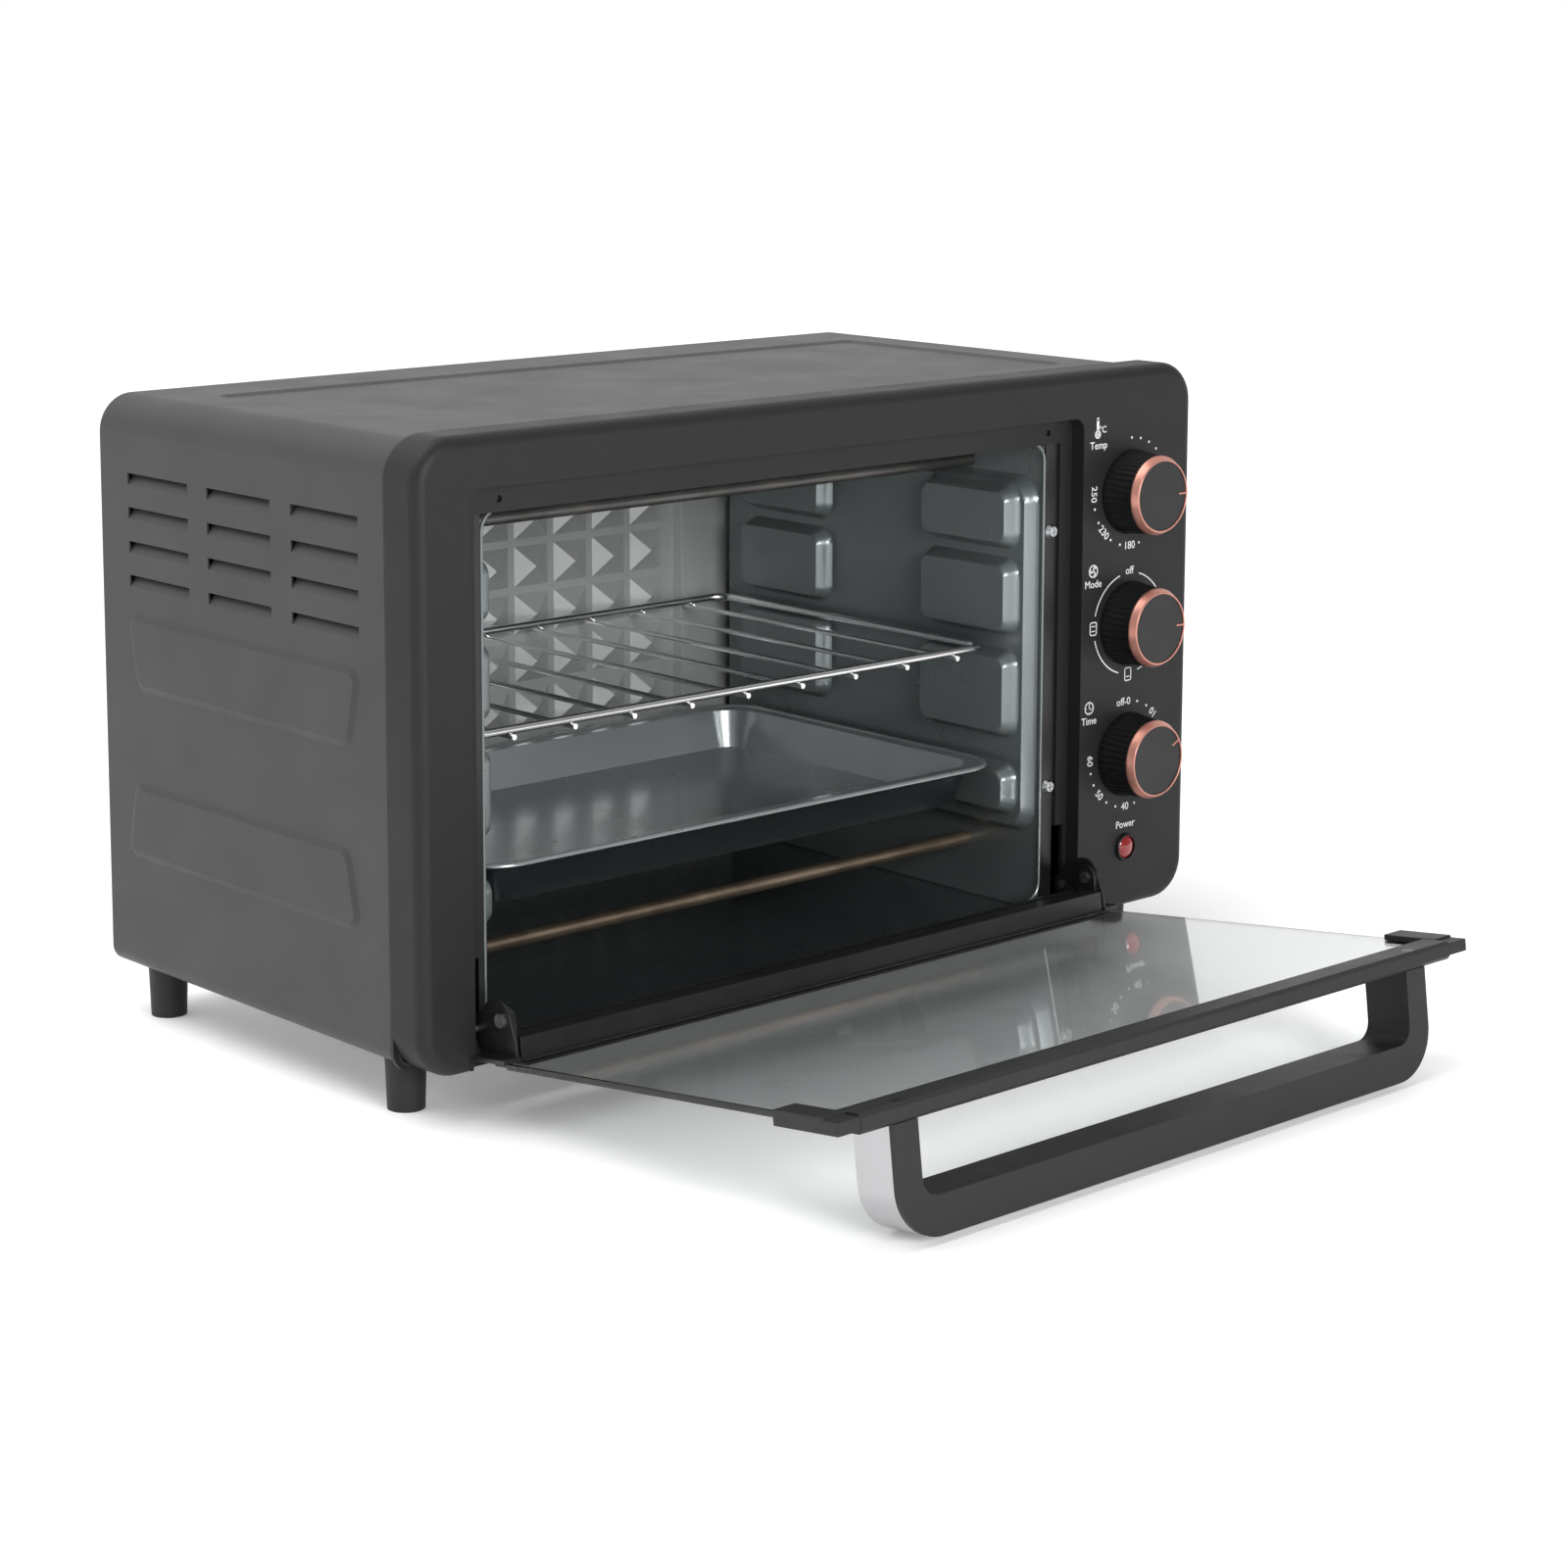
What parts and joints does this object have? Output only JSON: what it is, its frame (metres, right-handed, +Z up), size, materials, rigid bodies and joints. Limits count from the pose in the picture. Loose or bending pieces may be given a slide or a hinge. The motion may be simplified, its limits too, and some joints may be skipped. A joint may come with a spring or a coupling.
{
  "type": "toaster oven",
  "caption": "Countertop toaster oven with a drop-down glass door on riveted ears, rotary controls, a pressed enamel cavity, tube heaters, a sliding wire rack and a baking tray.",
  "frame": {"origin": "table level, under the middle of the body", "axes": "+X right as seen from the front, +Y towards the back, +Z up; the door opens towards -Y and is stored open"},
  "size_m": [0.475, 0.4774, 0.2905],
  "materials": {
    "charcoal_paint": "satin",
    "frame_plastic": "satin",
    "enamel": "gloss",
    "black_steel": "satin",
    "zinc_steel": "satin",
    "chrome": "polished",
    "heater_steel": "matte",
    "ceramic": "matte",
    "clear_glass": "polished",
    "black_plastic": "matte",
    "rose_gold": "satin",
    "cap_plastic": "satin",
    "red_plastic": "gloss",
    "foot_rubber": "matte",
    "tray_enamel": "gloss",
    "bakelite": "matte",
    "wire_cover": "matte"
  },
  "bodies": {
    "cabinet": {"wrapper": "charcoal_paint", "front_frame": "frame_plastic", "back_cover": "charcoal_paint", "bottom_panel": "zinc_steel", "foot_front_left": "foot_rubber", "foot_front_right": "foot_rubber", "foot_rear_left": "foot_rubber", "foot_rear_right": "foot_rubber", "foot_screws": "zinc_steel", "cavity_flange": "black_steel", "cavity_left_wall": "enamel", "cavity_right_wall": "enamel", "cavity_back_wall": "enamel", "cavity_ceiling": "enamel", "cavity_floor": "enamel", "upper_heater": "heater_steel", "lower_heater": "heater_steel", "heater_insulators": "ceramic", "flange_screws": "zinc_steel", "back_screws": "zinc_steel", "hinge_pins": "zinc_steel", "heat_shield": "zinc_steel", "thermostat": "bakelite", "function_switch": "black_plastic", "timer_unit": "zinc_steel", "timer_bell": "zinc_steel", "lamp_bezel": "black_plastic", "lamp_lens": "red_plastic", "terminal_block": "bakelite", "wiring": "wire_cover", "cord_gland": "black_plastic"},
    "door": {"door_glass": "clear_glass", "hinge_rail": "black_steel", "outer_rail": "black_steel", "left_ear": "black_steel", "right_ear": "black_steel", "ear_rivets": "zinc_steel", "rail_end_caps": "black_plastic", "handle_body": "black_plastic", "handle_trim": "chrome", "handle_screws": "zinc_steel"},
    "rack": {"wire_rack": "chrome"},
    "tray": {"baking_tray": "tray_enamel"},
    "temperature_knob": {"temperature_knob_barrel": "black_plastic", "temperature_knob_ring": "rose_gold", "temperature_knob_cap": "cap_plastic", "temperature_knob_shaft": "zinc_steel"},
    "function_knob": {"function_knob_barrel": "black_plastic", "function_knob_ring": "rose_gold", "function_knob_cap": "cap_plastic", "function_knob_shaft": "zinc_steel"},
    "timer_knob": {"timer_knob_barrel": "black_plastic", "timer_knob_ring": "rose_gold", "timer_knob_cap": "cap_plastic", "timer_knob_shaft": "zinc_steel"}
  },
  "joints": [
    {"name": "door_hinge", "type": "hinge", "parent": "cabinet", "child": "door", "pos_m": [-0.02575, -0.1165, 0.039], "axis": [-1, 0, 0], "range_deg": [0, 83]},
    {"name": "temperature_turn", "type": "hinge", "parent": "cabinet", "child": "temperature_knob", "pos_m": [0.1925, -0.122, 0.2295], "axis": [0, 1, 0], "range_deg": [-90, 180]},
    {"name": "function_turn", "type": "hinge", "parent": "cabinet", "child": "function_knob", "pos_m": [0.1925, -0.122, 0.1645], "axis": [0, 1, 0], "range_deg": [-90, 180]},
    {"name": "timer_turn", "type": "hinge", "parent": "cabinet", "child": "timer_knob", "pos_m": [0.1925, -0.122, 0.099], "axis": [0, 1, 0], "range_deg": [-62, 208]},
    {"name": "rack_slide", "type": "slide", "parent": "cabinet", "child": "rack", "axis": [0, 1, 0], "range_m": [-0.14, 0]},
    {"name": "tray_slide", "type": "slide", "parent": "cabinet", "child": "tray", "axis": [0, 1, 0], "range_m": [-0.14, 0]}
  ]
}
